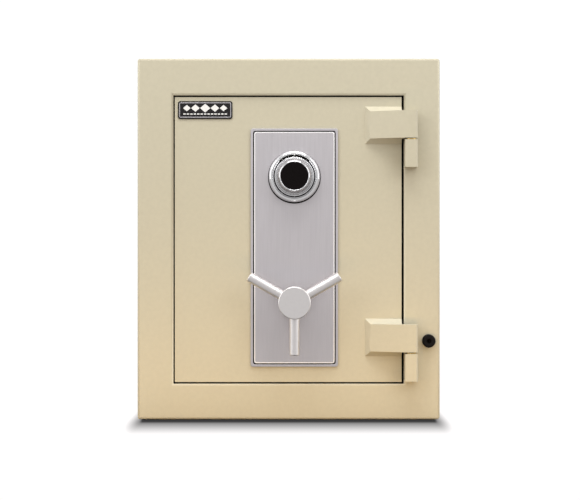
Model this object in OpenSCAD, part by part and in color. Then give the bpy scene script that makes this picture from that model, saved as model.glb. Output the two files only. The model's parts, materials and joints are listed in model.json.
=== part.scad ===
// Floor-standing fire and burglary safe with a combination dial and a three-spoke handle.
// Millimetres. X runs to the right, Y runs from front to back, Z up.
// The origin is the middle of the base, where the safe stands on the floor.

/* [Body] */
// Outside width of the body
body_w = 527; // [515:1:580]
// Outside height of the body
body_h = 629; // [620:1:700]
// Outside depth of the body, without the handle
body_d = 540; // [500:1:640]
// Thickness of the outer steel shell
shell_t = 5; // [5:0.5:6]
// Radius of the four corners seen from the front
corner_r = 6; // [3:0.5:8]

/* [Door opening] */
// Width of the frame at each side of the door
frame_side = 62.5; // [60:0.5:66]
// Height of the frame under the door
frame_bottom = 62; // [60:0.5:66]
// Height of the frame over the door
frame_top = 64; // [60:0.5:66]
// Size of the bevel around the opening
opening_bevel = 4; // [3:0.5:4]
// How far the door sits behind the front of the frame
door_recess = 5; // [4.5:0.5:5.5]
// Thickness of the door's face plate
door_plate_t = 13; // [12:0.5:14]

/* [Handle] */
// Diameter of the handle's hub
hub_d = 55.4; // [50:0.2:58]
// Diameter of each spoke
spoke_d = 17.5; // [14:0.5:18]
// Distance from the handle's axis to the end of a spoke
spoke_reach = 90; // [75:1:95]

/* [Dial] */
// Diameter of the fixed ring around the dial
dial_ring_d = 89; // [88:0.5:94]
// Radius of the black insert in the dial's knob
insert_r = 23.8; // [20:0.1:24]

/* [Boltwork] */
// Diameter of the locking bolts
bolt_d = 25.4; // [20:0.2:25.4]
// How far the locking bolts travel
bolt_throw = 31.75; // [30:0.25:32]
// How far the lock's own bolt travels
lock_throw = 9.5; // [6:0.5:10]

/* [Hidden] */
$fn = 72;

// Front plane of the frame; depths below are measured back from it
front = -body_d / 2;
cut = 1;                    // extra length that makes a cut pass right through
running_fit = 0.05;         // radial clearance of a turning fit
loose_fit = 0.3;            // radial clearance of a sliding or passing rod

// Door opening
open_w = body_w - 2 * frame_side;
open_x = open_w / 2;
open_z0 = frame_bottom;
open_z1 = body_h - frame_top;
mid_z = (open_z0 + open_z1) / 2;

// Door face plate
latch_gap = 2.5;
hinge_gap = 4;
door_gap = 3;
door_x0 = -open_x + latch_gap;
door_x1 = open_x - hinge_gap;
door_z0 = open_z0 + door_gap;
door_z1 = open_z1 - door_gap;
plate_back = door_recess + door_plate_t;

// Jamb: throat, step behind the face plate and pocket behind the step
jamb_t = 5;
step_front = plate_back + 3;
step_back = 70;
step_x0 = -open_x + 7;
step_x1 = open_x - 11;
step_z0 = open_z0 + 15;
step_z1 = open_z1 - 15;
pocket_x = open_x + 15;
pocket_z0 = open_z0 - 10;
pocket_z1 = open_z1 + 12;
pocket_back = 126;
jamb_back = pocket_back + jamb_t;

// Inner space
liner_t = 3;
inner_x = open_x - 23;
inner_z0 = open_z0 + 23;
inner_z1 = open_z1 - 23;
inner_back = body_d - 66;

// Door pan behind the face plate, filled with concrete
pan_t = 3;
pan_x0 = -open_x + 18;
pan_x1 = open_x - 20;
pan_z0 = open_z0 + 18;
pan_z1 = open_z1 - 18;
pan_back = 75;

// Boltwork chamber behind the pan
wall_t = 4;
case_x0 = -open_x + 31;
case_x1 = open_x - 23;
case_z0 = open_z0 + 22;
case_z1 = open_z1 - 22;
case_back = 119;
cover_t = 3;

// Hinges
hinge_h = 47.5;
hinge_gap_z = 3;
washer_t = 2.5;
washer_r = 8.5;
knuckle_w = 22;
knuckle_r = 5;
hinge_x = open_x + knuckle_w / 2;
hinge_depth = -14.5;
knuckle_front = hinge_depth - knuckle_w / 2;
knuckle_back = hinge_depth + knuckle_w / 2;
leaf_x0 = open_x - 59;
leaf_tip = 9;               // thickness of the leaf at its free end
weld_leg = 9;
pin_r = 6;
pin_cap = 8;                // metal left over each end of the pin
lower_z = 68.5;
upper_z = body_h - 190.5;

// Rubber bumper that stops the lower hinge leaf
bumper_x = open_x + 42.6;
bumper_z = 137.2;
bumper_r = 11.5;
bumper_h = 10;
bumper_edge = 2;

// Escutcheon
trim_x = 10;                // middle line of the escutcheon, the dial and the handle
trim_z = mid_z - 14;
trim_w = 152;
trim_h = 415;
trim_r = 4;
trim_band = 4;
trim_groove = 2;
trim_bevel = 2;              // width of the shallow slope along the plate's edge
trim_slope = 0.7;            // how far back that slope goes
gasket_t = 1;
gasket_front = door_recess - gasket_t;
trim_front = gasket_front - 2.5;
nameplate_w = 95;
nameplate_h = 31;
nameplate_x = door_x0 + 53;
nameplate_z = door_z1 - 22.7;
nameplate_t = 1.6;
nameplate_rim = 2.4;
nameplate_line = 1.2;

// Dial and its ring
dial_z = mid_z + 109.5;
spindle_r = 4;
tube_r = 7;
ring_r = dial_ring_d / 2;
ring_floor = trim_front - 2;
ring_cavity_r = 39.4;
ring_lip_r = 35.8;
ring_crest = trim_front - 11;
window_r = 38.6;
window_half = 44;           // half of the window's opening angle
dial_back = ring_floor - 0.7;
dial_flange_r = 38.4;
dial_rim_r = 34.7;
knob_front = trim_front - 28.3;
insert_t = 0.8;
ring_screw_r = 1.75;
ring_screw_x = 25;

// Handle
handle_z = mid_z - 108.5;
hub_r = hub_d / 2;
hub_back = -22;
hub_front = -55;
spoke_depth = -38;
neck_r = 17;
shaft_r = 10;
shaft_end_r = 8;
bushing_r = 13;
tenon_r = 6;
spoke_angles = [30, 150, 270];

// Handle cam: a disc whose pin drives the bolt bar
cam_r = 30;
cam_front = 80;
cam_back = 88;
cam_pin_r = 5;
cam_pin_back = 108;
cam_reach = bolt_throw / 2; // sideways and upward offset of the pin at both ends of its turn
cam_pin_orbit = cam_reach * sqrt(2);

// Bolt bar: a flat plate that carries the locking bolts
bolt_depth = 96;
bar_back = 104;
bolt_r = bolt_d / 2;
bolt_tip_x = -open_x + 28;
bar_x0 = -open_x + 69;
bar_x1 = bar_x0 + 32;
bolt_end_x = bar_x1 + 2;
bolt_zs = [mid_z - 153.5, mid_z, mid_z + 153.5];
guide_zs = [mid_z - 183.5, mid_z + 183.5];
guide_x = bar_x0 + 12;
guide_r = 4;
guide_head_r = 8;
guide_tab_h = 20;
bar_z0 = mid_z - 203.5;
bar_z1 = mid_z + 203.5;
cam_arm_h = 30;
slot_clear = 0.9;           // lets the pin follow its arc while the bar moves evenly

// Lock: hung with its bolt pointing down
lock_w = 61;
lock_top = dial_z + 30.5;
lock_bottom = dial_z - 54.5;
lock_back = 105;
lock_wall = 3;
lock_bolt_w = 16;
lock_bolt_front = 92;
lock_bolt_back = 100;
lock_bolt_h = lock_throw + 17.5;
lever_back = 103;
lever_z = lock_bottom + lock_throw + 11;
lever_x0 = trim_x + 22;
lever_x1 = trim_x + 26.5;
lever_top = dial_z + 13;
fence_r = 2;
fence_x = trim_x + 24.3;
fence_z = dial_z + 7;
post_r = 6;
wheel_r = 20;
wheel_t = 3;
wheel_fronts = [80, 84.5, 89];
drive_front = 94;
drive_back = 99;
gate_w = 5;
gate_depth = 5;
lug_w = 12;
lug_x0 = trim_x + 10;
lock_arm_top = lock_bottom - 16.5;
lock_arm_h = 16;
lug_top = lock_bottom - 2;

// Relocker: a pin that drops through the bolt bar
relock_x = trim_x - 70;
relock_z = lock_arm_top - lock_arm_h / 2;
relock_r = 4;
relock_front = 78;
relock_tip = 94;
relock_box = 12;
relock_box_back = 93;

// Shelf inside
shelf_z = mid_z - 6;
shelf_t = 2;
shelf_lip = 20;
shelf_front = 152;
shelf_gap = 4;
bracket = 15;
bracket_t = 2;

// Anchor hole in the floor
anchor_y = front + (jamb_back + inner_back) / 2;
anchor_r = 7;
sleeve_r = 10.5;

paint = [0.83, 0.79, 0.68];
steel = [0.62, 0.62, 0.64];
dark_steel = [0.42, 0.43, 0.45];
stainless = [0.73, 0.71, 0.73];
chrome = [0.86, 0.86, 0.87];
black = [0.07, 0.06, 0.06];
concrete = [0.6, 0.58, 0.55];
liner_paint = [0.72, 0.72, 0.7];
brass = [0.78, 0.65, 0.36];

// Box between two places across, two depths behind the front and two heights
module slab(x0, x1, d0, d1, z0, z1) {
    translate([x0, front + d0, z0]) cube([x1 - x0, d1 - d0, z1 - z0]);
}

// Round bar along the depth
module rod(x, z, d0, d1, r) {
    translate([x, front + d0, z]) rotate([-90, 0, 0]) cylinder(h = d1 - d0, r = r);
}

// Round bar across the width
module crossbar(x0, x1, depth, z, r) {
    translate([x0, front + depth, z]) rotate([0, 90, 0]) cylinder(h = x1 - x0, r = r);
}

// Rectangle with round corners, centred
module rounded_rect(w, h, r) {
    square([w - 2 * r, h], center = true);
    square([w, h - 2 * r], center = true);
    for (sx = [-1, 1], sy = [-1, 1])
        translate([sx * (w / 2 - r), sy * (h / 2 - r)]) circle(r);
}

// Plate with round corners that faces the front, between two depths
module plate(x, z, w, h, r, d0, d1) {
    translate([x, front + d1, z]) rotate([90, 0, 0]) linear_extrude(d1 - d0) rounded_rect(w, h, r);
}

// Solid of revolution about a line along the depth; points are [radius, depth]
module turned(x, z, points) {
    translate([x, front, z]) rotate([-90, 0, 0]) rotate_extrude() polygon(points);
}

// Block whose four sides slope, mitred at the corners: one outline at depth d0, another at d1
module sloped_block(x0, x1, z0, z1, d0, grow_x0, grow_x1, grow_z, d1) {
    intersection() {
        translate([0, 0, z0 - grow_z - cut]) linear_extrude(z1 - z0 + 2 * (grow_z + cut))
            polygon([[x0, front + d0], [x1, front + d0],
                     [x1 + grow_x1, front + d1], [x0 - grow_x0, front + d1]]);
        translate([x0 - grow_x0 - cut, 0, 0]) rotate([90, 0, 90])
            linear_extrude(x1 - x0 + grow_x0 + grow_x1 + 2 * cut)
            polygon([[front + d0, z0], [front + d0, z1],
                     [front + d1, z1 + grow_z], [front + d1, z0 - grow_z]]);
    }
}

// Cap screw along the depth with its head towards the back
module screw_from_back(x, z, tip, seat, r, head_r, head_h) {
    rod(x, z, tip, seat, r);
    rod(x, z, seat, seat + head_h, head_r);
}

// ---- Body ----

// Outline of the body between two depths, with its four round corners
module body_block(d0, d1) {
    plate(0, body_h / 2, body_w, body_h, corner_r, d0, d1);
}

// Front plate: its edges are round on all four sides, and its opening is bevelled
module front_frame() {
    color(paint) difference() {
        intersection() {
            body_block(0, shell_t);
            translate([0, front + 2 * shell_t, 0]) linear_extrude(body_h)
                rounded_rect(body_w, 4 * shell_t, shell_t);
            translate([-body_w / 2, front + 2 * shell_t, body_h / 2]) rotate([90, 0, 90])
                linear_extrude(body_w) rounded_rect(4 * shell_t, body_h, shell_t);
        }
        slab(-open_x, open_x, 0, shell_t + cut, open_z0, open_z1);
        sloped_block(-open_x, open_x, open_z0, open_z1, opening_bevel,
                     opening_bevel + cut, opening_bevel + cut, opening_bevel + cut, -cut);
        rod(bumper_x, bumper_z, -cut, shell_t + cut, 2.1);
    }
}

// Both sides and the top, bent from one sheet
module outer_shell() {
    color(paint) difference() {
        body_block(shell_t, body_d - shell_t);
        slab(-body_w / 2 + shell_t, body_w / 2 - shell_t, 0, body_d, 0, body_h - shell_t);
        slab(-body_w / 2, body_w / 2, 0, body_d, -cut, shell_t);
    }
}

module floor_plate() {
    color(paint) difference() {
        intersection() {
            body_block(shell_t, body_d - shell_t);
            slab(-body_w / 2, body_w / 2, 0, body_d, -cut, shell_t);
        }
        translate([0, anchor_y, -cut]) cylinder(h = shell_t + 2 * cut, r = sleeve_r);
    }
}

module back_plate() {
    color(paint) body_block(body_d - shell_t, body_d);
}

module door_jamb() {
    color(paint) difference() {
        slab(-pocket_x - jamb_t, pocket_x + jamb_t, shell_t, jamb_back,
             pocket_z0 - jamb_t, pocket_z1 + jamb_t);
        slab(-open_x, open_x, shell_t - cut, step_front, open_z0, open_z1);
        slab(step_x0, step_x1, step_front - cut, step_back + cut, step_z0, step_z1);
        slab(-pocket_x, pocket_x, step_back, pocket_back, pocket_z0, pocket_z1);
        slab(-inner_x, inner_x, pocket_back - cut, jamb_back + cut, inner_z0, inner_z1);
    }
}

module inner_liner() {
    color(liner_paint) difference() {
        slab(-inner_x - liner_t, inner_x + liner_t, jamb_back, inner_back + liner_t,
             inner_z0 - liner_t, inner_z1 + liner_t);
        slab(-inner_x, inner_x, jamb_back - cut, inner_back, inner_z0, inner_z1);
        translate([0, anchor_y, 0]) cylinder(h = inner_z0 + cut, r = sleeve_r);
    }
}

module concrete_fill() {
    color(concrete) difference() {
        slab(-body_w / 2 + shell_t, body_w / 2 - shell_t, shell_t, body_d - shell_t,
             shell_t, body_h - shell_t);
        slab(-pocket_x - jamb_t, pocket_x + jamb_t, shell_t - cut, jamb_back,
             pocket_z0 - jamb_t, pocket_z1 + jamb_t);
        slab(-inner_x - liner_t, inner_x + liner_t, jamb_back - cut, inner_back + liner_t,
             inner_z0 - liner_t, inner_z1 + liner_t);
        translate([0, anchor_y, 0]) cylinder(h = inner_z0, r = sleeve_r);
        rod(bumper_x, bumper_z, 0, 3 * shell_t, 2.1);
    }
}

module anchor_sleeve() {
    color(steel) translate([0, anchor_y, 0]) difference() {
        cylinder(h = inner_z0, r = sleeve_r);
        translate([0, 0, -cut]) cylinder(h = inner_z0 + 2 * cut, r = anchor_r);
    }
}

module shelf() {
    x = inner_x - shelf_gap;
    back = inner_back - shelf_gap;
    color(liner_paint) {
        slab(-x, x, shelf_front, back, shelf_z - shelf_t, shelf_z);
        slab(-x, x, shelf_front, shelf_front + shelf_t, shelf_z - shelf_lip, shelf_z);
        slab(-x, x, back - shelf_t, back, shelf_z - shelf_lip, shelf_z);
    }
}

module shelf_brackets() {
    top = shelf_z - shelf_t;
    d0 = shelf_front + 2 * shelf_t;
    d1 = inner_back - shelf_gap - 2 * shelf_t;
    color(steel) for (side = [0, 1]) mirror([side, 0, 0]) {
        slab(inner_x - bracket, inner_x, d0, d1, top - bracket_t, top);
        slab(inner_x - bracket_t, inner_x, d0, d1, top - bracket, top);
    }
}

module door_bumper() {
    color(black) difference() {
        turned(bumper_x, bumper_z, [
            [0, 0], [bumper_r, 0], [bumper_r, -bumper_h + bumper_edge],
            [bumper_r - bumper_edge, -bumper_h], [0, -bumper_h]
        ]);
        rod(bumper_x, bumper_z, -bumper_h - cut, -4, 4.2);
        rod(bumper_x, bumper_z, -5, cut, 2.1);
    }
}

module bumper_screw() {
    color(chrome) {
        rod(bumper_x, bumper_z, -4, 12, 2);
        rod(bumper_x, bumper_z, -6.5, -4, 4);
    }
}

// ---- Hinges ----

module knuckle_outline() {
    translate([hinge_x, front + hinge_depth]) {
        translate([-knuckle_w / 2, -knuckle_w / 2]) square([knuckle_w - knuckle_r, knuckle_w]);
        translate([-knuckle_w / 2, -knuckle_w / 2 + knuckle_r])
            square([knuckle_w, knuckle_w - 2 * knuckle_r]);
        for (s = [-1, 1])
            translate([knuckle_w / 2 - knuckle_r, s * (knuckle_w / 2 - knuckle_r)]) circle(knuckle_r);
    }
}

module frame_knuckle(z) {
    color(paint) difference() {
        translate([0, 0, z]) linear_extrude(hinge_h) union() {
            knuckle_outline();
            translate([hinge_x - knuckle_w / 2, front + knuckle_back - knuckle_r])
                square([knuckle_w, knuckle_r - knuckle_back]);
        }
        translate([hinge_x, front + hinge_depth, z + pin_cap]) cylinder(h = hinge_h, r = pin_r);
    }
}

module hinge_pin(z) {
    color(steel) translate([hinge_x, front + hinge_depth, z + pin_cap])
        cylinder(h = 2 * hinge_h + hinge_gap_z - 2 * pin_cap - 0.5, r = pin_r);
}

module hinge_washer(z) {
    color(brass) translate([hinge_x, front + hinge_depth, z + hinge_h]) difference() {
        cylinder(h = washer_t, r = washer_r);
        translate([0, 0, -cut]) cylinder(h = washer_t + 2 * cut, r = pin_r);
    }
}

module hinge_leaf(z) {
    z0 = z + hinge_h + hinge_gap_z;
    color(paint) difference() {
        union() {
            translate([0, 0, z0]) linear_extrude(hinge_h) union() {
                knuckle_outline();
                polygon([
                    [leaf_x0, front + door_recess], [door_x1, front + door_recess],
                    [open_x, front + knuckle_back], [open_x + cut, front + knuckle_back],
                    [open_x + cut, front + knuckle_front], [open_x, front + knuckle_front],
                    [leaf_x0, front + door_recess - leaf_tip]
                ]);
            }
            sloped_block(leaf_x0, door_x1, z0, z0 + hinge_h, door_recess - weld_leg,
                         weld_leg, 0, weld_leg, door_recess);
        }
        translate([hinge_x, front + hinge_depth, z0 - cut])
            cylinder(h = hinge_h - pin_cap + cut, r = pin_r + running_fit);
    }
}

module frame_knuckle_upper() { frame_knuckle(upper_z); }
module frame_knuckle_lower() { frame_knuckle(lower_z); }
module hinge_pin_upper() { hinge_pin(upper_z); }
module hinge_pin_lower() { hinge_pin(lower_z); }
module hinge_washer_upper() { hinge_washer(upper_z); }
module hinge_washer_lower() { hinge_washer(lower_z); }
module hinge_leaf_upper() { hinge_leaf(upper_z); }
module hinge_leaf_lower() { hinge_leaf(lower_z); }

// ---- Door ----

module ring_screw_holes(d0, d1) {
    for (s = [-1, 1]) rod(trim_x + s * ring_screw_x, dial_z, d0, d1, ring_screw_r);
}

module door_plate() {
    color(paint) difference() {
        slab(door_x0, door_x1, door_recess, plate_back, door_z0, door_z1);
        rod(trim_x, dial_z, 0, plate_back + cut, tube_r);
        rod(trim_x, handle_z, 0, plate_back + cut, bushing_r);
        ring_screw_holes(0, plate_back - 2);
    }
}

module nameplate() {
    color(black) difference() {
        plate(nameplate_x, nameplate_z, nameplate_w, nameplate_h, 4,
              door_recess - nameplate_t, door_recess);
        nameplate_band(door_recess - nameplate_t - cut, door_recess - nameplate_t + 0.6);
    }
}

module nameplate_band(d0, d1) {
    w = nameplate_w - 2 * nameplate_rim;
    h = nameplate_h - 2 * nameplate_rim;
    difference() {
        plate(nameplate_x, nameplate_z, w, h, 2.2, d0, d1);
        plate(nameplate_x, nameplate_z, w - 2 * nameplate_line, h - 2 * nameplate_line, 1.2,
              d0 - cut, d1 + cut);
    }
}

module nameplate_border() {
    color(chrome) nameplate_band(door_recess - nameplate_t - 0.2, door_recess - nameplate_t + 0.6);
}

module escutcheon_gasket() {
    color(black) difference() {
        plate(trim_x, trim_z, trim_w - 2, trim_h - 2, trim_r - 1, gasket_front, door_recess);
        rod(trim_x, dial_z, gasket_front - cut, door_recess + cut, tube_r);
        rod(trim_x, handle_z, gasket_front - cut, door_recess + cut, bushing_r);
        ring_screw_holes(0, plate_back);
    }
}

module escutcheon_frame() {
    color(stainless) difference() {
        plate(trim_x, trim_z, trim_w, trim_h, trim_r, trim_front, gasket_front);
        plate(trim_x, trim_z, trim_w - 2 * trim_band, trim_h - 2 * trim_band, trim_r,
              trim_front - cut, gasket_front + cut);
    }
}

module escutcheon_plate() {
    w = trim_w - 2 * (trim_band + trim_groove);
    h = trim_h - 2 * (trim_band + trim_groove);
    x0 = trim_x - w / 2;
    z0 = trim_z - h / 2;
    run = trim_bevel * (gasket_front + cut - trim_front) / trim_slope;
    color(stainless) difference() {
        intersection() {
            plate(trim_x, trim_z, w, h, 3, trim_front, gasket_front);
            sloped_block(x0 + trim_bevel, x0 + w - trim_bevel, z0 + trim_bevel,
                         z0 + h - trim_bevel, trim_front, run, run, run, gasket_front + cut);
        }
        rod(trim_x, dial_z, trim_front - cut, gasket_front + cut, tube_r);
        rod(trim_x, handle_z, trim_front - cut, gasket_front + cut, bushing_r);
        ring_screw_holes(0, plate_back);
    }
}

module dial_ring() {
    color(chrome) difference() {
        turned(trim_x, dial_z, [
            [tube_r, trim_front], [ring_r, trim_front], [ring_r, ring_crest + 5.5],
            [ring_r - 0.7, ring_crest + 3.4], [ring_r - 2, ring_crest + 1.4],
            [ring_r - 3.8, ring_crest + 0.2], [ring_r - 5, ring_crest],
            [ring_r - 6.6, ring_crest + 0.6], [ring_r - 8, ring_crest + 1.9],
            [ring_lip_r, ring_crest + 3.4], [ring_cavity_r, ring_crest + 5.6],
            [ring_cavity_r, ring_floor], [tube_r, ring_floor]
        ]);
        translate([trim_x, front, dial_z]) rotate([-90, 0, 0])
            rotate([0, 0, -90 - window_half]) rotate_extrude(angle = 2 * window_half)
            translate([ring_lip_r - 1.2, ring_crest - cut])
            square([window_r - ring_lip_r + 1.2, 8]);
        for (s = [-1, 1]) translate([trim_x + s * ring_screw_x, front + trim_front, dial_z])
            rotate([90, 0, 0]) cylinder(h = 2, r1 = ring_screw_r, r2 = ring_screw_r + 2);
    }
    color(chrome) intersection() {
        slab(trim_x - 1.3, trim_x + 1.3, ring_crest + 0.8, ring_crest + 2.6,
             dial_z + window_r - 1.9, dial_z + window_r + 0.6);
        rod(trim_x, dial_z, ring_crest, ring_crest + 5, ring_r);
    }
}

module dial_ring_screws() {
    color(steel) for (s = [-1, 1]) translate([trim_x + s * ring_screw_x, front, dial_z]) {
        translate([0, trim_front, 0]) rotate([90, 0, 0])
            cylinder(h = 2, r1 = ring_screw_r, r2 = ring_screw_r + 2);
        translate([0, trim_front, 0]) rotate([-90, 0, 0])
            cylinder(h = plate_back - 3 - trim_front, r = ring_screw_r);
    }
}

module door_seal() {
    color(black) difference() {
        slab(door_x0 + 0.5, door_x1 - 0.5, plate_back, plate_back + 2.5,
             door_z0 + 0.5, door_z1 - 0.5);
        slab(step_x0 - 0.5, step_x1 + 0.5, plate_back - cut, plate_back + 2.5 + cut,
             step_z0 - 0.5, step_z1 + 0.5);
    }
}

module door_pan() {
    color(liner_paint) difference() {
        slab(pan_x0, pan_x1, plate_back, pan_back, pan_z0, pan_z1);
        slab(pan_x0 + pan_t, pan_x1 - pan_t, plate_back - cut, pan_back - pan_t,
             pan_z0 + pan_t, pan_z1 - pan_t);
        rod(trim_x, dial_z, 0, pan_back + cut, tube_r);
        rod(trim_x, handle_z, 0, pan_back + cut, bushing_r);
        lock_screw_holes(2.1);
    }
}

module door_fill() {
    color(concrete) difference() {
        slab(pan_x0 + pan_t, pan_x1 - pan_t, plate_back, pan_back - pan_t,
             pan_z0 + pan_t, pan_z1 - pan_t);
        hardplate_block();
        rod(trim_x, dial_z, 0, pan_back, tube_r);
        rod(trim_x, handle_z, 0, pan_back, bushing_r);
    }
}

module hardplate_block() {
    slab(trim_x - 65, trim_x + 65, plate_back, plate_back + 6, dial_z - 60, dial_z + 50);
}

module hardplate() {
    color(dark_steel) difference() {
        hardplate_block();
        rod(trim_x, dial_z, 0, pan_back, tube_r);
    }
}

module spindle_tube() {
    color(steel) difference() {
        rod(trim_x, dial_z, trim_front, pan_back, tube_r);
        rod(trim_x, dial_z, trim_front - cut, pan_back + cut, spindle_r + 0.5);
    }
}

module handle_bushing() {
    color(brass) difference() {
        rod(trim_x, handle_z, trim_front, pan_back, bushing_r);
        rod(trim_x, handle_z, trim_front - cut, pan_back + cut, shaft_r + running_fit);
    }
}

// ---- Lock ----

module lock_screw_holes(r) {
    for (s = [-1, 1], z = [lock_bottom + 5, lock_top - 5])
        rod(trim_x + s * (lock_w / 2 - 5), z, 60, 140, r);
}

module lock_case() {
    x0 = trim_x - lock_w / 2;
    x1 = trim_x + lock_w / 2;
    corner = 10;
    color(steel) difference() {
        union() {
            difference() {
                slab(x0, x1, pan_back, lock_back, lock_bottom, lock_top);
                slab(x0 + lock_wall, x1 - lock_wall, pan_back + lock_wall, lock_back + cut,
                     lock_bottom + lock_wall, lock_top - lock_wall);
            }
            for (x = [x0, x1 - corner], z = [lock_bottom, lock_top - corner])
                slab(x, x + corner, pan_back, lock_back, z, z + corner);
            rod(trim_x, dial_z, pan_back, drive_front - 1, post_r);
        }
        rod(trim_x, dial_z, pan_back - cut, drive_front, spindle_r + running_fit);
        slab(trim_x - lock_bolt_w / 2 - loose_fit, trim_x + lock_bolt_w / 2 + loose_fit,
             lock_bolt_front - loose_fit, lock_bolt_back + loose_fit,
             lock_bottom - cut, lock_bottom + lock_wall + cut);
        lock_screw_holes(2.1);
    }
}

module lock_cover() {
    color(steel) difference() {
        slab(trim_x - lock_w / 2, trim_x + lock_w / 2, lock_back, lock_back + 3,
             lock_bottom, lock_top);
        lock_screw_holes(2.1);
    }
}

module lock_screws() {
    color(dark_steel) for (s = [-1, 1], z = [lock_bottom + 5, lock_top - 5])
        screw_from_back(trim_x + s * (lock_w / 2 - 5), z, pan_back - pan_t, lock_back + 3, 2, 3.8, 3);
}

module wheel(front_depth, gate_angle) {
    color(brass) difference() {
        rod(trim_x, dial_z, front_depth, front_depth + wheel_t, wheel_r);
        rod(trim_x, dial_z, front_depth - cut, front_depth + wheel_t + cut, post_r + running_fit);
        translate([trim_x, 0, dial_z]) rotate([0, gate_angle, 0])
            translate([-gate_w / 2, front + front_depth - cut, wheel_r - gate_depth])
            cube([gate_w, wheel_t + 2 * cut, gate_depth + cut]);
    }
}

module wheel_1() { wheel(wheel_fronts[0], 35); }
module wheel_2() { wheel(wheel_fronts[1], 160); }
module wheel_3() { wheel(wheel_fronts[2], 250); }

module drive_cam() {
    color(brass) difference() {
        rod(trim_x, dial_z, drive_front, drive_back, wheel_r - 2);
        rod(trim_x, dial_z, drive_front - cut, drive_back + cut, spindle_r);
        translate([trim_x - gate_w, front + drive_front - cut, dial_z + wheel_r - 9])
            cube([2 * gate_w, drive_back - drive_front + 2 * cut, 10]);
    }
}

module lock_bolt() {
    color(brass) slab(trim_x - lock_bolt_w / 2, trim_x + lock_bolt_w / 2,
                      lock_bolt_front, lock_bolt_back, lock_bottom, lock_bottom + lock_bolt_h);
}

module lock_lever() {
    color(steel) {
        slab(trim_x - lock_bolt_w / 2, lever_x1, lock_bolt_back, lever_back, lever_z, lever_z + 7);
        slab(lever_x0, lever_x1, lock_bolt_back, lever_back, lever_z, lever_top);
        rod(fence_x, fence_z, wheel_fronts[0], lock_bolt_back + 1, fence_r);
    }
}

// ---- Boltwork ----

module bolt_frame() {
    color(liner_paint) difference() {
        slab(case_x0, case_x1, pan_back, case_back, case_z0, case_z1);
        slab(case_x0 + wall_t, case_x1 - wall_t, pan_back - cut, case_back + cut,
             case_z0 + wall_t, case_z1 - wall_t);
        for (z = bolt_zs) {
            crossbar(case_x0 - cut, case_x0 + wall_t + cut, bolt_depth, z, bolt_r + loose_fit);
            crossbar(case_x1 - wall_t - cut, case_x1 + cut, bolt_depth, z, 8);
        }
    }
    color(liner_paint) for (x = [case_x0 + wall_t, case_x1 - wall_t - 12],
                            z = [case_z0 + wall_t, case_z1 - wall_t - 12]) difference() {
        slab(x, x + 12, pan_back, case_back, z, z + 12);
        rod(x + 6, z + 6, case_back - 10, case_back + cut, 2.1);
    }
}

module dead_bolts() {
    color(steel) for (z = bolt_zs) {
        crossbar(case_x1, case_x1 + 22, bolt_depth, z, bolt_r);
        crossbar(case_x1 - wall_t - 14, case_x1, bolt_depth, z, 8);
    }
}

module guide_posts() {
    color(steel) for (z = guide_zs) {
        rod(guide_x, z, pan_back, bar_back + 1, guide_r);
        rod(guide_x, z, pan_back, bolt_depth - 1, guide_head_r);
        rod(guide_x, z, bar_back + 1, bar_back + 4, guide_head_r);
    }
}

module cover_corners() {
    inset = wall_t + 6;
    for (x = [case_x0 + inset, case_x1 - inset], z = [case_z0 + inset, case_z1 - inset])
        translate([x, 0, z]) children();
}

module back_cover() {
    color(liner_paint) difference() {
        slab(case_x0, case_x1, case_back, case_back + cover_t, case_z0, case_z1);
        cover_corners() rod(0, 0, case_back - cut, case_back + cover_t + cut, 2.1);
    }
}

module cover_screws() {
    color(chrome) cover_corners()
        screw_from_back(0, 0, case_back - 9, case_back + cover_t, 2, 4, 1.6);
}

module relocker_housing() {
    color(steel) difference() {
        slab(relock_x - relock_box, relock_x + relock_box, pan_back, relock_box_back,
             relock_z - relock_box, relock_z + relock_box);
        rod(relock_x, relock_z, pan_back + pan_t, relock_box_back + cut, relock_r + running_fit);
    }
}

module relock_pin() {
    color(dark_steel) rod(relock_x, relock_z, relock_front, relock_tip, relock_r);
}

// Flat bar with its guide tabs, cam arm and lock arm, drawn with the bolts drawn back
module bolt_bar() {
    slot_x = trim_x + cam_reach;
    slot_r = cam_pin_r + slot_clear;
    pin_z0 = handle_z + cam_reach;
    pin_z1 = handle_z + cam_pin_orbit;
    arm_z = pin_z0 - 9;
    color(dark_steel) difference() {
        union() {
            slab(bar_x0, bar_x1, bolt_depth, bar_back, bar_z0, bar_z1);
            for (z = guide_zs)
                slab(bar_x0, guide_x + bolt_throw + 12, bolt_depth, bar_back,
                     z - guide_tab_h / 2, z + guide_tab_h / 2);
            slab(bar_x0, slot_x + 14, bolt_depth, bar_back, arm_z, arm_z + cam_arm_h);
            slab(bar_x0, lug_x0 + lug_w, bolt_depth, bar_back,
                 lock_arm_top - lock_arm_h, lock_arm_top);
            slab(lug_x0, lug_x0 + lug_w, bolt_depth, bar_back, lock_arm_top - lock_arm_h, lug_top);
        }
        for (z = guide_zs) bar_slot(guide_x, guide_x + bolt_throw, z, guide_r + loose_fit);
        for (z = [pin_z0, pin_z1]) rod(slot_x, z, bolt_depth - cut, bar_back + cut, slot_r);
        slab(slot_x - slot_r, slot_x + slot_r, bolt_depth - cut, bar_back + cut, pin_z0, pin_z1);
        for (x = [relock_x, relock_x + bolt_throw])
            rod(x, relock_z, bolt_depth - cut, bar_back + cut, relock_r + loose_fit);
        bolt_screw_places() rod(0, 0, bolt_depth - cut, bar_back + cut, 4.2);
    }
}

// Slot along the width with round ends
module bar_slot(x0, x1, z, r) {
    for (x = [x0, x1]) rod(x, z, bolt_depth - cut, bar_back + cut, r);
    slab(x0, x1, bolt_depth - cut, bar_back + cut, z - r, z + r);
}

module bolt_screw_places() {
    for (z = bolt_zs, x = [bar_x0 + 8, bar_x1 - 8]) translate([x, 0, z]) children();
}

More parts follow.
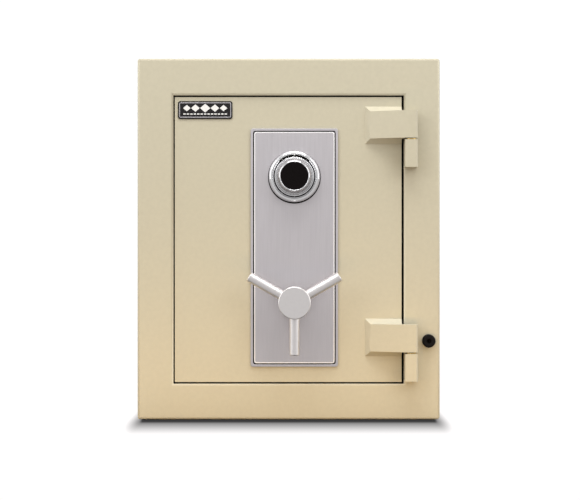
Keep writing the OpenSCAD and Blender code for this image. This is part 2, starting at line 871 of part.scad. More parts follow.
module locking_bolts() {
    color(steel) difference() {
        for (z = bolt_zs) crossbar(bolt_tip_x, bolt_end_x, bolt_depth, z, bolt_r);
        slab(bar_x0 - 1, bolt_end_x + cut, bolt_depth, bolt_depth + bolt_r + cut,
             bolt_zs[0] - bolt_d, bolt_zs[2] + bolt_d);
        bolt_screw_places() rod(0, 0, bolt_depth - 8, bolt_depth + cut, 4);
    }
}

module bolt_screws() {
    color(dark_steel) bolt_screw_places()
        screw_from_back(0, 0, bolt_depth - 7.5, bar_back, 4, 6.5, 5);
}

// ---- Handle ----

module spoke_place(angle) {
    translate([trim_x, front + spoke_depth, handle_z]) rotate([0, 90 - angle, 0]) children();
}

module handle_hub() {
    edge = 1.2;
    color(stainless) difference() {
        turned(trim_x, handle_z, [
            [0, trim_front - 0.5], [neck_r, trim_front - 0.5], [neck_r, hub_back],
            [hub_r - edge, hub_back], [hub_r, hub_back - edge], [hub_r, hub_front + edge],
            [hub_r - edge, hub_front], [0, hub_front]
        ]);
        rod(trim_x, handle_z, -45, trim_front, shaft_r);
        for (a = spoke_angles) spoke_place(a)
            translate([0, 0, shaft_r + 2]) cylinder(h = hub_r, r = tenon_r);
    }
}

module handle_spokes() {
    edge = 1.2;
    spoke_r = spoke_d / 2;
    color(stainless) for (a = spoke_angles) {
        difference() {
            spoke_place(a) {
                translate([0, 0, shaft_r + 4]) cylinder(h = spoke_reach - edge - shaft_r - 4, r = spoke_r);
                translate([0, 0, spoke_reach - edge])
                    cylinder(h = edge, r1 = spoke_r, r2 = spoke_r - edge);
            }
            rod(trim_x, handle_z, hub_front, hub_back, hub_r);
        }
        spoke_place(a) translate([0, 0, shaft_r + 2]) cylinder(h = hub_r - shaft_r, r = tenon_r);
    }
}

module handle_shaft() {
    color(steel) {
        rod(trim_x, handle_z, -45, cam_front, shaft_r);
        rod(trim_x, handle_z, cam_front, cam_back, shaft_end_r);
    }
}

module handle_cam() {
    color(dark_steel) difference() {
        rod(trim_x, handle_z, cam_front, cam_back, cam_r);
        rod(trim_x, handle_z, cam_front - cut, cam_back + cut, shaft_end_r);
        rod(trim_x + cam_reach, handle_z + cam_reach, cam_front + 3, cam_back + cut, cam_pin_r);
    }
}

module cam_pin() {
    color(steel) rod(trim_x + cam_reach, handle_z + cam_reach, cam_front + 3, cam_pin_back, cam_pin_r);
}

// ---- Dial ----

module dial() {
    color(chrome) difference() {
        turned(trim_x, dial_z, [
            [0, dial_back], [dial_flange_r, dial_back], [dial_flange_r, dial_back - 0.8],
            [dial_rim_r, dial_back - 5], [dial_rim_r, ring_crest + 1.6],
            [dial_rim_r - 0.5, ring_crest + 0.6], [dial_rim_r - 1.3, ring_crest + 0.2],
            [dial_rim_r - 3, ring_crest + 1.6], [dial_rim_r - 3.8, ring_crest + 1.6],
            [30.2, ring_crest - 1], [28.8, knob_front + 6], [28, knob_front + 3],
            [26.8, knob_front + 1], [25.4, knob_front], [24.6, knob_front + 0.2],
            [insert_r, knob_front + 1], [insert_r, knob_front + 1.6], [0, knob_front + 1.6]
        ]);
        rod(trim_x, dial_z, knob_front + 8, dial_back + cut, spindle_r);
    }
}

module dial_insert() {
    color(black) rod(trim_x, dial_z, knob_front + 1.6 - insert_t, knob_front + 1.6, insert_r);
}

module dial_spindle() {
    color(steel) rod(trim_x, dial_z, knob_front + 8, drive_back, spindle_r);
}

front_frame();
outer_shell();
floor_plate();
back_plate();
door_jamb();
inner_liner();
concrete_fill();
anchor_sleeve();
shelf();
shelf_brackets();
door_bumper();
bumper_screw();
frame_knuckle_upper();
frame_knuckle_lower();
hinge_pin_upper();
hinge_pin_lower();
hinge_washer_upper();
hinge_washer_lower();
door_plate();
hinge_leaf_upper();
hinge_leaf_lower();
nameplate();
nameplate_border();
escutcheon_gasket();
escutcheon_frame();
escutcheon_plate();
dial_ring();
dial_ring_screws();
door_seal();
door_pan();
door_fill();
hardplate();
spindle_tube();
handle_bushing();
lock_case();
lock_cover();
lock_screws();
bolt_frame();
dead_bolts();
guide_posts();
back_cover();
cover_screws();
relocker_housing();
bolt_bar();
locking_bolts();
bolt_screws();
handle_hub();
handle_spokes();
handle_shaft();
handle_cam();
cam_pin();
dial();
dial_insert();
dial_spindle();
drive_cam();
wheel_1();
wheel_2();
wheel_3();
lock_bolt();
lock_lever();
relock_pin();
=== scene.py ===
import json
import math

import bmesh
import bpy
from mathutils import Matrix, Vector


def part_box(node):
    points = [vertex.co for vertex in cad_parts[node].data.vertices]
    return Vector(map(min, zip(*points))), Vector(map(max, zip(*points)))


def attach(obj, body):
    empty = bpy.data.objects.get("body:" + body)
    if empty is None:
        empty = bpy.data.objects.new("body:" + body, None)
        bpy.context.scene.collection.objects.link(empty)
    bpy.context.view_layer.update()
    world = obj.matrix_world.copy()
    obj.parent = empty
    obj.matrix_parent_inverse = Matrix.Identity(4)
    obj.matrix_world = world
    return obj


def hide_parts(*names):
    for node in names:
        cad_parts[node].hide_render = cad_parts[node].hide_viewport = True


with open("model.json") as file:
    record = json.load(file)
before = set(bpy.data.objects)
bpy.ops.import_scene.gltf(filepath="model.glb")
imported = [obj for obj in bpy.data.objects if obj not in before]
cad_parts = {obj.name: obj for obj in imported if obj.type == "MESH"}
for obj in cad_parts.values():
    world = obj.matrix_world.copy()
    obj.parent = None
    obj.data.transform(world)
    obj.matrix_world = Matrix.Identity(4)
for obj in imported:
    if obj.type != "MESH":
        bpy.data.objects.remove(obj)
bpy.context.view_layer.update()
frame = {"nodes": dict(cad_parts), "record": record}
NODES = frame["nodes"]
SLOT_OF = {row["node"]: row["material_slot"] for row in frame["record"]["subparts"]}
EVEN = (1, 1, 1)


# ---- Node helpers ----

def new_material(name):
    mat = bpy.data.materials.new(name)
    mat.use_nodes = True
    return mat, mat.node_tree


def noise(tree, scale, detail=3.0, stretch=EVEN):
    """Noise in the object's own coordinates, so it moves with the piece."""
    where = tree.nodes.new("ShaderNodeTexCoord")
    mapping = tree.nodes.new("ShaderNodeMapping")
    mapping.inputs["Scale"].default_value = stretch
    tex = tree.nodes.new("ShaderNodeTexNoise")
    tex.inputs["Scale"].default_value = scale
    tex.inputs["Detail"].default_value = detail
    tree.links.new(where.outputs["Object"], mapping.inputs["Vector"])
    tree.links.new(mapping.outputs["Vector"], tex.inputs["Vector"])
    return tex.outputs["Fac"]


def span(tree, value, low, high, from_low=0.3, from_high=0.7):
    """Maps a value from one range to another, clamped."""
    node = tree.nodes.new("ShaderNodeMapRange")
    node.inputs["From Min"].default_value = from_low
    node.inputs["From Max"].default_value = from_high
    node.inputs["To Min"].default_value = low
    node.inputs["To Max"].default_value = high
    tree.links.new(value, node.inputs["Value"])
    return node.outputs["Result"]


def colour_ramp(tree, value, stops):
    """Colour by value; each stop is (position, colour)."""
    node = tree.nodes.new("ShaderNodeValToRGB")
    elements = node.color_ramp.elements
    while len(elements) < len(stops):
        elements.new(0.5)
    for element, (position, colour) in zip(elements, stops):
        element.position = position
        element.color = (*colour, 1)
    tree.links.new(value, node.inputs["Fac"])
    return node.outputs["Color"]


def bump(tree, height, strength, distance, below=None):
    node = tree.nodes.new("ShaderNodeBump")
    node.inputs["Strength"].default_value = strength
    node.inputs["Distance"].default_value = distance
    tree.links.new(height, node.inputs["Height"])
    if below:
        tree.links.new(below, node.inputs["Normal"])
    return node.outputs["Normal"]


def math_node(tree, operation, a, b=None):
    """Each of a and b is a number or a socket."""
    node = tree.nodes.new("ShaderNodeMath")
    node.operation = operation
    for socket, value in zip(node.inputs, (a, b)):
        if isinstance(value, (int, float)):
            socket.default_value = value
        elif value is not None:
            tree.links.new(value, socket)
    return node.outputs["Value"]


MIX_COLOUR_A, MIX_COLOUR_B, MIX_COLOUR_RESULT = 6, 7, 2  # a Mix node's colour sockets


def mix_to_grey(tree, factor, colour, level):
    """The colour where the factor is 0, and an even grey where it is 1."""
    node = tree.nodes.new("ShaderNodeMix")
    node.data_type = "RGBA"
    node.inputs[MIX_COLOUR_B].default_value = (level, level, level, 1)
    tree.links.new(factor, node.inputs["Factor"])
    tree.links.new(colour, node.inputs[MIX_COLOUR_A])
    return node.outputs[MIX_COLOUR_RESULT]


# ---- Materials ----

TINT_FROM, TINT_TO = 0.35, 0.65  # the part of the noise's range that the colour varies over


def shaded(colour, factor):
    return tuple(c * factor for c in colour)


def surface(name, colour, vary, rough, metallic=0.0, scale=60.0, stretch=EVEN, bumps=(),
            specular=0.5):
    """Principled surface: colour and roughness vary with noise, and each bump is
    (scale, stretch, strength, distance)."""
    mat, tree = new_material(name)
    bsdf = tree.nodes["Principled BSDF"]
    n = noise(tree, scale, 4.0, stretch)
    tinted = colour_ramp(tree, n, [(TINT_FROM, shaded(colour, 1 - vary)),
                                   (TINT_TO, shaded(colour, 1 + vary))])
    tree.links.new(tinted, bsdf.inputs["Base Color"])
    tree.links.new(span(tree, n, rough[0], rough[1]), bsdf.inputs["Roughness"])
    bsdf.inputs["Metallic"].default_value = metallic
    bsdf.inputs["Specular IOR Level"].default_value = specular
    normal = None
    for b_scale, b_stretch, strength, distance in bumps:
        height = noise(tree, b_scale, 3.0, b_stretch)
        normal = bump(tree, height, strength, distance, normal)
    if normal:
        tree.links.new(normal, bsdf.inputs["Normal"])
    return mat


FINISHES = {
    # fine leather-like spatter of the enamel over a softer orange peel
    "paint": dict(
        colour=(0.512, 0.468, 0.346), vary=0.018, rough=(0.40, 0.52), scale=140,
        bumps=[(700, EVEN, 0.16, 0.0004), (180, EVEN, 0.08, 0.0008)]),
    "liner_paint": dict(
        colour=(0.50, 0.50, 0.475), vary=0.02, rough=(0.38, 0.5), scale=90,
        bumps=[(500, EVEN, 0.10, 0.0004)]),
    "concrete": dict(
        colour=(0.38, 0.36, 0.33), vary=0.14, rough=(0.85, 0.97), scale=70,
        bumps=[(260, EVEN, 0.5, 0.001)]),
    "steel": dict(
        colour=(0.56, 0.56, 0.57), vary=0.06, rough=(0.24, 0.36), metallic=1.0, scale=900,
        stretch=(1, 1, 0.1), bumps=[(1400, (1, 1, 0.08), 0.06, 0.0002)]),
    "dark_steel": dict(
        colour=(0.15, 0.15, 0.16), vary=0.12, rough=(0.36, 0.5), metallic=1.0, scale=120,
        bumps=[(600, EVEN, 0.08, 0.0003)]),
    # brushed up and down: long streaks along Z
    "stainless": dict(
        colour=(0.57, 0.543, 0.56), vary=0.04, rough=(0.42, 0.52), metallic=0.88, scale=1500,
        stretch=(1, 1, 0.012), bumps=[(2200, (1, 1, 0.01), 0.05, 0.0002)]),
    "handle_metal": dict(
        colour=(0.76, 0.73, 0.72), vary=0.012, rough=(0.36, 0.42), metallic=1.0, scale=240,
        bumps=[(1200, EVEN, 0.02, 0.0001)]),
    "chrome": dict(
        colour=(0.78, 0.78, 0.79), vary=0.015, rough=(0.05, 0.11), metallic=1.0, scale=220,
        bumps=[(400, EVEN, 0.02, 0.0001)]),
    # fine fluting of the dial's grip, which reads darker than the plain chrome: its darker colour
    # is painted shade standing for the shade among the flutes, and its tone varies at random
    "chrome_grip": dict(
        colour=(0.46, 0.45, 0.45), vary=0.3, rough=(0.14, 0.3), metallic=1.0, scale=420,
        bumps=[(900, EVEN, 0.1, 0.0002)]),
    # near-white ring standing for the light caught on the escutcheon plate's edge: a painted
    # highlight
    "bright_edge": dict(
        colour=(0.90, 0.89, 0.89), vary=0.02, rough=(0.4, 0.5), metallic=0.3, scale=700,
        bumps=[(1600, EVEN, 0.04, 0.0001)]),
    "plate_black": dict(
        colour=(0.012, 0.011, 0.011), vary=0.2, rough=(0.22, 0.32), scale=300,
        bumps=[(900, EVEN, 0.04, 0.0002)], specular=0.25),
    "insert_black": dict(
        colour=(0.006, 0.005, 0.005), vary=0.25, rough=(0.5, 0.62), scale=500,
        bumps=[(1800, EVEN, 0.12, 0.0002)], specular=0.02),
    "rubber": dict(
        colour=(0.007, 0.006, 0.006), vary=0.25, rough=(0.6, 0.75), scale=260,
        bumps=[(900, EVEN, 0.15, 0.0003)], specular=0.08),
    "seal": dict(
        colour=(0.012, 0.011, 0.010), vary=0.2, rough=(0.6, 0.75), scale=300,
        bumps=[(700, EVEN, 0.2, 0.0004)], specular=0.1),
    "mark_white": dict(
        colour=(0.78, 0.77, 0.74), vary=0.03, rough=(0.4, 0.5), scale=500,
        bumps=[(1500, EVEN, 0.05, 0.0001)]),
    "brass": dict(
        colour=(0.60, 0.44, 0.19), vary=0.05, rough=(0.2, 0.3), metallic=1.0, scale=400,
        bumps=[(1500, EVEN, 0.04, 0.0002)]),
}
MATERIALS = {name: surface(name, **finish) for name, finish in FINISHES.items()}


# ---- Carried-over CAD nodes: materials and softened edges, widths in metres ----

WIDE_EDGE = {"door_plate": 0.0015, "frame_knuckle_upper": 0.0012, "frame_knuckle_lower": 0.0012,
             "hinge_leaf_upper": 0.0012, "hinge_leaf_lower": 0.0012}
EDGE = {"paint": 0.0009, "liner_paint": 0.0008, "stainless": 0.0003, "handle_metal": 0.0008,
        "chrome": 0.0003, "steel": 0.0005, "dark_steel": 0.0006, "brass": 0.0004,
        "plate_black": 0.0004, "insert_black": 0.0003, "rubber": 0.0006, "seal": 0.0004,
        "concrete": 0.001}
UNCUT = ("outer_shell", "floor_plate", "back_plate", "front_frame", "concrete_fill")
NODE_MERGE = 0.00001
SHARP_ANGLE = math.radians(28)


def add_bevel(obj, width):
    edge = obj.modifiers.new("edges", "BEVEL")
    edge.width = width
    edge.segments = 2
    edge.limit_method = "ANGLE"
    edge.angle_limit = SHARP_ANGLE
    return edge


def add_weighted_normals(obj):
    normals = obj.modifiers.new("normals", "WEIGHTED_NORMAL")
    normals.keep_sharp = True
    normals.weight = 100


def finish_node(name):
    obj = NODES[name]
    slot = SLOT_OF[name]
    obj.data.materials.clear()
    obj.data.materials.append(MATERIALS[slot])
    for poly in obj.data.polygons:
        poly.use_smooth = True
    weld = obj.modifiers.new("weld", "WELD")
    weld.merge_threshold = NODE_MERGE
    if name not in UNCUT:
        edge = add_bevel(obj, WIDE_EDGE.get(name, EDGE[slot]))
        edge.use_clamp_overlap = True
        edge.miter_outer = "MITER_ARC"
    add_weighted_normals(obj)


for node_name in NODES:
    finish_node(node_name)


# ---- Mesh helpers for the detail pieces ----
# Lengths are in millimetres. Depth is measured back from the safe's front plane.

MM = 0.001
PIECE_MERGE = 0.000002
CORNER_SHARE = 0.4  # the most of a side that the rounding of one corner may take
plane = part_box("front_frame")[0].y


def add_piece(name, verts, faces, body, finish, smooth=True, replaces=()):
    mesh = bpy.data.meshes.new(name)
    mesh.from_pydata([(x * MM, plane + d * MM, z * MM) for x, d, z in verts], [], faces)
    bm = bmesh.new()
    bm.from_mesh(mesh)
    bmesh.ops.remove_doubles(bm, verts=bm.verts, dist=PIECE_MERGE)
    bmesh.ops.recalc_face_normals(bm, faces=bm.faces)
    bm.to_mesh(mesh)
    bm.free()
    obj = bpy.data.objects.new(name, mesh)
    bpy.context.scene.collection.objects.link(obj)
    mesh.materials.append(MATERIALS[finish])
    for poly in mesh.polygons:
        poly.use_smooth = smooth
    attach(obj, body)
    if replaces:
        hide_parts(*replaces)
    return obj


def soften(obj, width):
    add_bevel(obj, width * MM)
    add_weighted_normals(obj)


def lathe_mesh(x, z, rings):
    """Closed solid of revolution; rings holds a profile of (radius, depth) points for each
    step round the axis."""
    steps = len(rings)
    count = len(rings[0])
    verts, faces = [], []
    for k, ring in enumerate(rings):
        turn = 2 * math.pi * k / steps
        for r, d in ring:
            verts.append((x + r * math.cos(turn), d, z + r * math.sin(turn)))
    for k in range(steps):
        a, b = k * count, (k + 1) % steps * count
        for i in range(count):
            j = (i + 1) % count
            faces.append((a + i, a + j, b + j, b + i))
    return verts, faces


def rounded(points, radius=0.4, steps=3):
    """Rounds each corner of a closed (radius, depth) profile with a short arc, except on
    the axis."""
    out = []
    n = len(points)
    for i, point in enumerate(points):
        corner = Vector(point)
        before = Vector(points[i - 1]) - corner
        after = Vector(points[(i + 1) % n]) - corner
        if point[0] < 0.01 or before.length < 1e-6 or after.length < 1e-6:
            out.append(point)
            continue
        cut = min(radius, before.length * CORNER_SHARE, after.length * CORNER_SHARE)
        a = corner + before.normalized() * cut
        b = corner + after.normalized() * cut
        for k in range(steps + 1):
            t = k / steps
            p = a * (1 - t) ** 2 + corner * 2 * t * (1 - t) + b * t * t
            out.append((p.x, p.y))
    return out


def ring_mesh(outer, inner, d0, d1):
    """Flat ring between two outlines of (x, z) points and between two depths."""
    n = len(outer)
    verts = [(x, d, z) for d in (d0, d1) for x, z in (*outer, *inner)]
    faces = []
    for k in range(n):
        m = (k + 1) % n
        faces += [(k, m, n + m, n + k), (2 * n + k, 2 * n + m, 3 * n + m, 3 * n + k),
                  (k, m, 2 * n + m, 2 * n + k), (n + k, n + m, 3 * n + m, 3 * n + k)]
    return verts, faces


def rectangle(x0, x1, z0, z1):
    return [(x0, z0), (x1, z0), (x1, z1), (x0, z1)]


def round_rectangle(x0, x1, z0, z1, r, steps=8):
    outline = []
    for cx, cz, start in ((x1 - r, z1 - r, 0), (x0 + r, z1 - r, 90), (x0 + r, z0 + r, 180),
                          (x1 - r, z0 + r, 270)):
        for k in range(steps + 1):
            turn = math.radians(start + 90 * k / steps)
            outline.append((cx + r * math.cos(turn), cz + r * math.sin(turn)))
    return outline


def grown(bounds, by):
    """(x0, x1, z0, z1) moved outwards, or inwards if by is negative."""
    x0, x1, z0, z1 = bounds
    return x0 - by, x1 + by, z0 - by, z1 + by


def prism(outline, d0, d1):
    """Extruded outline of (x, z) points between two depths."""
    n = len(outline)
    verts = [(x, d, z) for d in (d0, d1) for x, z in outline]
    faces = [tuple(range(n)), tuple(range(n, 2 * n))]
    faces += [(k, (k + 1) % n, n + (k + 1) % n, n + k) for k in range(n)]
    return verts, faces


def joined(parts):
    verts, faces = [], []
    for part_verts, part_faces in parts:
        base = len(verts)
        verts += part_verts
        faces += [tuple(base + i for i in face) for face in part_faces]
    return verts, faces


def box_mm(node):
    """A CAD node's lowest and highest corners as (x, depth, z)."""
    lo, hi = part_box(node)
    return ((lo.x / MM, (lo.y - plane) / MM, lo.z / MM),
            (hi.x / MM, (hi.y - plane) / MM, hi.z / MM))


def face_mm(node):
    """The middle of a CAD node's front face as (x, depth, z)."""
    (x0, front, z0), (x1, _, z1) = box_mm(node)
    return (x0 + x1) / 2, front, (z0 + z1) / 2


# ---- Combination dial; its profiles are (radius, depth) points ----

STEPS = 360
dial_x, ring_crest, dial_z = face_mm("dial_ring")
ring_lo, ring_hi = box_mm("dial_ring")
ring_r = (ring_hi[0] - ring_lo[0]) / 2
trim_front = box_mm("escutcheon_plate")[0][1]
knob_front, dial_back = (corner[1] for corner in box_mm("dial"))

# Fixed ring, with a window cut in its inner lip over the dial's numbers.
RING_INNER_R = 36.5
LIP_R, LIP_UNDER_R = 35.9, 39.4
WINDOW_R = 38.6
WINDOW_HALF_ANGLE = math.radians(44)
WINDOW_DEPTH = 4
lip = rounded([
    (ring_r, trim_front), (ring_r, ring_crest + 5.5), (ring_r - 0.6, ring_crest + 3.3),
    (ring_r - 1.9, ring_crest + 1.3), (ring_r - 3.5, ring_crest + 0.25), (ring_r - 5, ring_crest),
    (ring_r - 6.5, ring_crest + 0.5), (ring_r - 7.7, ring_crest + 1.6),
    (LIP_R, ring_crest + 2.6), (LIP_R - 0.1, ring_crest + 3.6), (LIP_UNDER_R, ring_crest + 5.6),
    (LIP_UNDER_R, trim_front - 2), (RING_INNER_R, trim_front - 2), (RING_INNER_R, trim_front)],
    0.5, 3)
rings = []
for k in range(STEPS):
    turn = 2 * math.pi * k / STEPS
    from_top = abs((turn - math.pi / 2 + math.pi) % (2 * math.pi) - math.pi)
    least_r = WINDOW_R if from_top < WINDOW_HALF_ANGLE else 0
    rings.append([(max(r, least_r) if d < trim_front - WINDOW_DEPTH else r, d) for r, d in lip])
add_piece("dial_ring_shell", *lathe_mesh(dial_x, dial_z, rings), "door", "chrome",
          replaces=("dial_ring",))

# Dark line under the ring, set low: a painted shadow standing for the ring's contact shadow.
SHADOW_RING_DROP = 1.0
shadow_ring_profile = rounded([(40, trim_front), (45.9, trim_front), (45.9, trim_front - 0.9),
                  (40, trim_front - 0.9)], 0.3, 2)
add_piece("dial_painted_shadow_ring", *lathe_mesh(dial_x, dial_z - SHADOW_RING_DROP, [shadow_ring_profile] * 180), "door", "seal")

index = prism([(dial_x - 1.5, dial_z + 40.2), (dial_x + 1.5, dial_z + 40.2),
               (dial_x + 0.9, dial_z + 37.4), (dial_x, dial_z + 36.4),
               (dial_x - 0.9, dial_z + 37.4)], ring_crest + 0.35, ring_crest + 2.2)
soften(add_piece("dial_index", *index, "door", "mark_white"), 0.15)

# Black band: a cone from its outer edge up to the knob's flange.
BAND_R, BAND_TOP_R, BAND_BORE_R = 38.4, 34.9, 34.2
band_edge, band_top = dial_back - 0.8, dial_back - 5
band = rounded([(BAND_R, dial_back), (BAND_R, band_edge), (BAND_TOP_R, band_top),
                (BAND_BORE_R, band_top), (BAND_BORE_R, dial_back)], 0.2, 2)
add_piece("dial_band", *lathe_mesh(dial_x, dial_z, [band] * STEPS), "dial_wheel", "plate_black")

AXIS_R = 0.4
FLANGE_R = 34.3
shoulder = ring_crest + 1.7
flange = rounded([
    (AXIS_R, dial_back), (FLANGE_R - 0.2, dial_back), (FLANGE_R - 0.2, band_top),
    (FLANGE_R, band_top - 0.2), (FLANGE_R, ring_crest + 1.5), (FLANGE_R - 0.5, ring_crest + 0.5),
    (FLANGE_R - 1.5, ring_crest + 0.4), (FLANGE_R - 2.6, shoulder), (AXIS_R, shoulder)], 0.35, 3)
add_piece("dial_knob", *lathe_mesh(dial_x, dial_z, [flange] * STEPS), "dial_wheel", "chrome",
          replaces=("dial",))

# Fluted grip: its side waves in and out, clear of its foot and its front.
FLUTES, FLUTE_DEPTH = 60, 0.55
FLUTED_R, FLUTED_FOOT = 27.6, 1.5
GRIP_FRONT_R = 26.6
grip_face = knob_front + 2.2
grip = rounded([
    (AXIS_R, shoulder + 0.1), (30.7, shoulder + 0.1), (30.3, ring_crest - 1),
    (29.9, ring_crest - 9), (29.2, knob_front + 4.6), (27.8, grip_face),
    (GRIP_FRONT_R, knob_front + 1.0), (GRIP_FRONT_R, grip_face), (AXIS_R, grip_face)], 0.35, 3)
rings = []
for k in range(STEPS * 2):
    wave = 0.5 - 0.5 * math.cos(FLUTES * 2 * math.pi * k / (STEPS * 2))
    rings.append([(r - FLUTE_DEPTH * wave if r > FLUTED_R and d < shoulder - FLUTED_FOOT else r, d)
                  for r, d in grip])
add_piece("dial_grip", *lathe_mesh(dial_x, dial_z, rings), "dial_wheel", "chrome_grip")

RIM_INNER_R, RIM_OUTER_R = 23.8, 26.5
rim = rounded([
    (RIM_INNER_R, knob_front + 2.4), (RIM_OUTER_R, knob_front + 2.4),
    (RIM_OUTER_R, knob_front + 0.9), (25.4, knob_front), (24.6, knob_front),
    (RIM_INNER_R, knob_front + 0.9)], 0.3, 3)
add_piece("dial_rim", *lathe_mesh(dial_x, dial_z, [rim] * STEPS), "dial_wheel", "chrome")

# Graduations and numbers lie on the band's cone.
cone_r, cone_d = BAND_TOP_R - BAND_R, band_top - band_edge
cone_len = math.hypot(cone_r, cone_d)
MARK_SUNK, MARK_PROUD = -0.1, 0.05
MARK_START = 0.2
DIGIT_SIZE, DIGIT_BASELINE = 3.0, 5.0


def on_cone(turn, along, side, lift):
    """Point on the band: along from its outer edge in, side across, lift off the surface."""
    r = BAND_R + cone_r * along / cone_len - lift * cone_d / cone_len
    d = band_edge + cone_d * along / cone_len + lift * cone_r / cone_len
    return (dial_x + r * math.cos(turn) - side * math.sin(turn),
            d, dial_z + r * math.sin(turn) + side * math.cos(turn))


def clockwise(k, count):
    """Angle of the k-th of count even steps, clockwise from the top."""
    return math.pi / 2 - 2 * math.pi * k / count


marks = []
for k in range(100):
    if k % 10 == 0:
        end, half = 2.4, 0.22
    elif k % 5 == 0:
        end, half = 2.0, 0.14
    else:
        end, half = 1.4, 0.14
    corners = [on_cone(clockwise(k, 100), along, side, lift) for lift in (MARK_SUNK, MARK_PROUD)
               for along, side in ((MARK_START, -half), (MARK_START, half), (end, half),
                                   (end, -half))]
    marks.append((corners, [(0, 1, 2, 3), (4, 5, 6, 7), (0, 1, 5, 4), (1, 2, 6, 5),
                            (2, 3, 7, 6), (3, 0, 4, 7)]))
for k in range(10):
    curve = bpy.data.curves.new("digits", "FONT")
    curve.body = str(k * 10)
    curve.align_x = "CENTER"
    curve.size = DIGIT_SIZE
    curve.extrude = MARK_PROUD
    curve.resolution_u = 3
    text = bpy.data.objects.new("digits", curve)
    flat = text.to_mesh()
    marks.append(([on_cone(clockwise(k, 10), DIGIT_BASELINE - v.co.y, -v.co.x, v.co.z)
                   for v in flat.vertices], [tuple(poly.vertices) for poly in flat.polygons]))
    text.to_mesh_clear()
    bpy.data.objects.remove(text)
    bpy.data.curves.remove(curve)
add_piece("dial_marks", *joined(marks), "dial_wheel", "mark_white", smooth=False)


# ---- Head of the bumper's screw: black, with a small bright spot left of its centre that is a painted highlight for the screw's glint ----

GLINT_OFFSET = 1.0
NODES["bumper_screw"].data.materials[0] = MATERIALS["insert_black"]
screw_x, screw_front, screw_z = face_mm("bumper_screw")
# The spot is a painted highlight: a chrome disc set off the screw's centre where the screw's glint
# falls.
glint_profile = rounded([(0.2, screw_front + 0.3), (0.2, screw_front), (1.5, screw_front),
               (2.0, screw_front + 0.3)], 0.2, 2)
add_piece("bumper_screw_glint", *lathe_mesh(screw_x - GLINT_OFFSET, screw_z, [glint_profile] * 48), "body",
          "chrome")


# ---- Nameplate ornament: a row of lozenges over a row of dashes ----

LOZENGES = ((-32, 6.5, 5.5), (-17, 7.5, 6.5), (0, 9, 7.5), (17, 7.5, 6.5), (32, 6.5, 5.5))
LOZENGE_RISE, DASH_DROP = 3.4, 6.9
DASH_PITCH, DASH_HALF_W, DASH_HALF_H = 6.0, 2.1, 1
NODES["nameplate_border"].data.materials[0] = MATERIALS["stainless"]
name_x, name_front, name_z = face_mm("nameplate")
relief = (name_front - 0.15, name_front + 0.1)
row_z, dash_z = name_z + LOZENGE_RISE, name_z - DASH_DROP
shapes = []
for across, half_w, half_h in LOZENGES:
    cx = name_x + across
    shapes.append(prism([(cx - half_w, row_z), (cx, row_z - half_h), (cx + half_w, row_z),
                         (cx, row_z + half_h)], *relief))
for k in range(-6, 7):
    cx = name_x + k * DASH_PITCH
    shapes.append(prism(rectangle(cx - DASH_HALF_W, cx + DASH_HALF_W, dash_z - DASH_HALF_H,
                                  dash_z + DASH_HALF_H), *relief))
add_piece("nameplate_ornament", *joined(shapes), "door", "mark_white", smooth=False)


# ---- Black seal on the step of the jamb and black lining round it, seen in the gap round the door: the seal is partly a fire seal and partly painted shade, and the lining is painted shade ----

SEAL_EDGE = 0.1
SHADE_LINING = 0.4
door_lo, door_hi = box_mm("door_plate")
back = door_hi[1] + 3
throat = (door_lo[0] - 2.4, door_hi[0] + 3.9, door_lo[2] - 2.9, door_hi[2] + 2.9)
inside = (door_lo[0] + 4.4, door_hi[0] - 6.9, door_lo[2] + 11.9, door_hi[2] - 11.9)
seal = ring_mesh(rectangle(*throat), rectangle(*inside), back - 0.35, back + 0.05)
soften(add_piece("jamb_seal_and_shade", *seal, "body", "seal"), SEAL_EDGE)
# The lining is painted shade: a black sheet on the throat's walls that darkens the gap round the
# door.
shade_lining = ring_mesh(rectangle(*throat), rectangle(*grown(throat, -SHADE_LINING)), door_lo[1] + 2.5,
                   back - 0.4)
soften(add_piece("jamb_painted_shade_lining", *shade_lining, "body", "seal"), SEAL_EDGE)


# ---- Bright edge of the escutcheon plate: a near-white ring, a painted highlight where the plate's edge catches the light ----

HIGHLIGHT_W, HIGHLIGHT_R, HIGHLIGHT_SOFT = 1.6, 4.4, 0.1
plate_lo, plate_hi = box_mm("escutcheon_plate")
plate = grown((plate_lo[0], plate_hi[0], plate_lo[2], plate_hi[2]), -0.1)
highlight_ring = ring_mesh(round_rectangle(*plate, HIGHLIGHT_R),
                     round_rectangle(*grown(plate, -HIGHLIGHT_W), HIGHLIGHT_R - HIGHLIGHT_W),
                     trim_front - 0.05, trim_front + 0.6)
soften(add_piece("escutcheon_painted_highlight", *highlight_ring, "door", "bright_edge"), HIGHLIGHT_SOFT)


# ---- Camera, in metres, square to the front ----

CAMERA_X, CAMERA_Z, CAMERA_DISTANCE = 0.0024, 0.2953, 2.30
camera = bpy.data.objects.new("camera", bpy.data.cameras.new("camera"))
bpy.context.scene.collection.objects.link(camera)
camera.location = (CAMERA_X, plane - CAMERA_DISTANCE, CAMERA_Z)
camera.rotation_euler = (math.radians(90), 0, 0)
camera.data.lens = 82.0
camera.data.sensor_width = 36
camera.data.clip_end = 50
bpy.context.scene.camera = camera


# ---- Studio ----

def area(name, place, aim, size, power, colour=(1, 1, 1)):
    light = bpy.data.lights.new(name, "AREA")
    light.shape = "RECTANGLE"
    light.size, light.size_y = size
    light.energy = power
    light.color = colour
    obj = bpy.data.objects.new(name, light)
    obj.location = place
    obj.rotation_euler = (Vector(aim) - Vector(place)).to_track_quat("-Z", "Y").to_euler()
    bpy.context.scene.collection.objects.link(obj)
    return obj


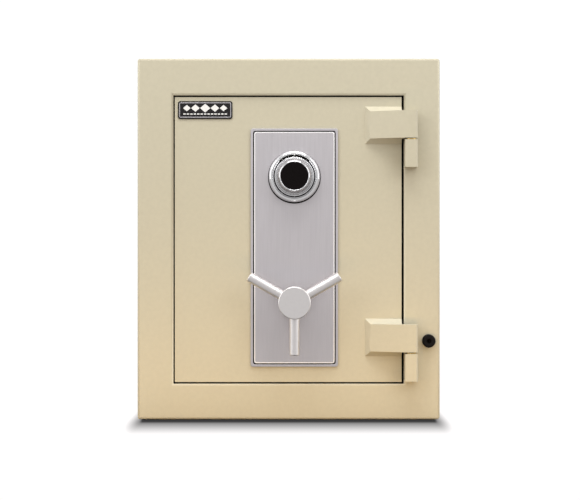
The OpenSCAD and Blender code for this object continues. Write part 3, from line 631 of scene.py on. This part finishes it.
SKY_LEVELS = ((0.0, 0.78), (0.15, 0.70), (0.35, 0.62), (0.6, 0.8), (1.0, 1.0))
SIDE_LEVEL, SIDE_FROM, SIDE_TO = 1.9, 0.62, 0.95
BACKDROP_LEVEL = 1.05
world = bpy.data.worlds.new("studio")
bpy.context.scene.world = world
world.use_nodes = True
sky = world.node_tree
ray = sky.nodes.new("ShaderNodeLightPath")
where = sky.nodes.new("ShaderNodeTexCoord")
split = sky.nodes.new("ShaderNodeSeparateXYZ")
sky.links.new(where.outputs["Generated"], split.inputs["Vector"])
rise = span(sky, split.outputs["Z"], 0, 1, 0, 1)
dome = colour_ramp(sky, rise, [(at, (level, level, level)) for at, level in SKY_LEVELS])
# Brighter at both sides, so that rounded edges catch a light line.
sideways = math_node(sky, "ABSOLUTE", split.outputs["X"])
dome = mix_to_grey(sky, span(sky, sideways, 0, 1, SIDE_FROM, SIDE_TO), dome, SIDE_LEVEL)
dome = mix_to_grey(sky, ray.outputs["Is Camera Ray"], dome, BACKDROP_LEVEL)
sky.links.new(dome, sky.nodes["Background"].inputs["Color"])
bpy.context.scene.view_settings.view_transform = "Standard"

middle = (0, plane, 0.32)
area("overhead", (0, plane - 0.9, 2.8), middle, (2.2, 1.0), 52)
area("left", (-1.5, plane - 1.5, 1.5), middle, (0.9, 0.9), 10)
area("right", (1.5, plane - 1.5, 1.5), middle, (0.9, 0.9), 10)
area("back_fill", (-1.0, 2.3, 1.4), (0, 0, 0.3), (1.6, 1.2), 26)
low = area("low_warm", (0, plane - 0.34, 0.03), (0, plane, 0.03), (1.1, 0.06), 1.15,
           (1, 0.62, 0.2))
low.visible_camera = False
low.visible_glossy = False


# ---- Floor: it glows white and darkens only close to the closed safe ----

FLOOR_HALF = 9
SHADE_HALF_WIDTH = 0.250
SHADE_DEPTH, SHADE_SIDE = 0.185, 0.028  # the soft shadow's reach before or behind, and sideways
SHADE_LEVELS = ((0.0, 0.035), (0.15, 0.05), (0.215, 0.15), (0.285, 0.28), (0.42, 0.41),
                (0.56, 0.56), (0.69, 0.70), (0.82, 0.84), (0.95, 0.97), (1.0, 1.0))
WARMTH = 0.98
GLOW, GLOSSY_GLOW, CAMERA_GLOW = 0.42, 0.62, 0.62
floor_mesh = bpy.data.meshes.new("floor")
floor_mesh.from_pydata([(x, y, 0) for x, y in rectangle(-FLOOR_HALF, FLOOR_HALF, -FLOOR_HALF,
                                                        FLOOR_HALF)], [], [(0, 1, 2, 3)])
floor = bpy.data.objects.new("floor", floor_mesh)
bpy.context.scene.collection.objects.link(floor)
mat, tree = new_material("floor_white")
here = tree.nodes.new("ShaderNodeTexCoord")
apart = tree.nodes.new("ShaderNodeSeparateXYZ")
tree.links.new(here.outputs["Object"], apart.inputs["Vector"])


def share_past(coordinate, half, length):
    """How far a point lies past the base's half size, as a share of the shadow's length."""
    past = math_node(tree, "SUBTRACT", math_node(tree, "ABSOLUTE", coordinate), half)
    return math_node(tree, "DIVIDE", math_node(tree, "MAXIMUM", past, 0), length)


ahead = share_past(apart.outputs["Y"], -plane, SHADE_DEPTH)
beyond = share_past(apart.outputs["X"], SHADE_HALF_WIDTH, SHADE_SIDE)
reach = math_node(tree, "SQRT", math_node(tree, "ADD", math_node(tree, "MULTIPLY", ahead, ahead),
                                          math_node(tree, "MULTIPLY", beyond, beyond)))
fade = colour_ramp(tree, reach, [(at, (level, level * WARMTH, level * WARMTH))
                                 for at, level in SHADE_LEVELS])
glow = tree.nodes.new("ShaderNodeEmission")
path = tree.nodes.new("ShaderNodeLightPath")
bounce = span(tree, path.outputs["Is Glossy Ray"], GLOW, GLOSSY_GLOW, 0, 1)
seen = math_node(tree, "MULTIPLY", path.outputs["Is Camera Ray"], CAMERA_GLOW)
tree.links.new(math_node(tree, "ADD", bounce, seen), glow.inputs["Strength"])
tree.links.new(fade, glow.inputs["Color"])
tree.links.new(glow.outputs["Emission"], tree.nodes["Material Output"].inputs["Surface"])
floor_mesh.materials.append(mat)

bpy.context.view_layer.update()
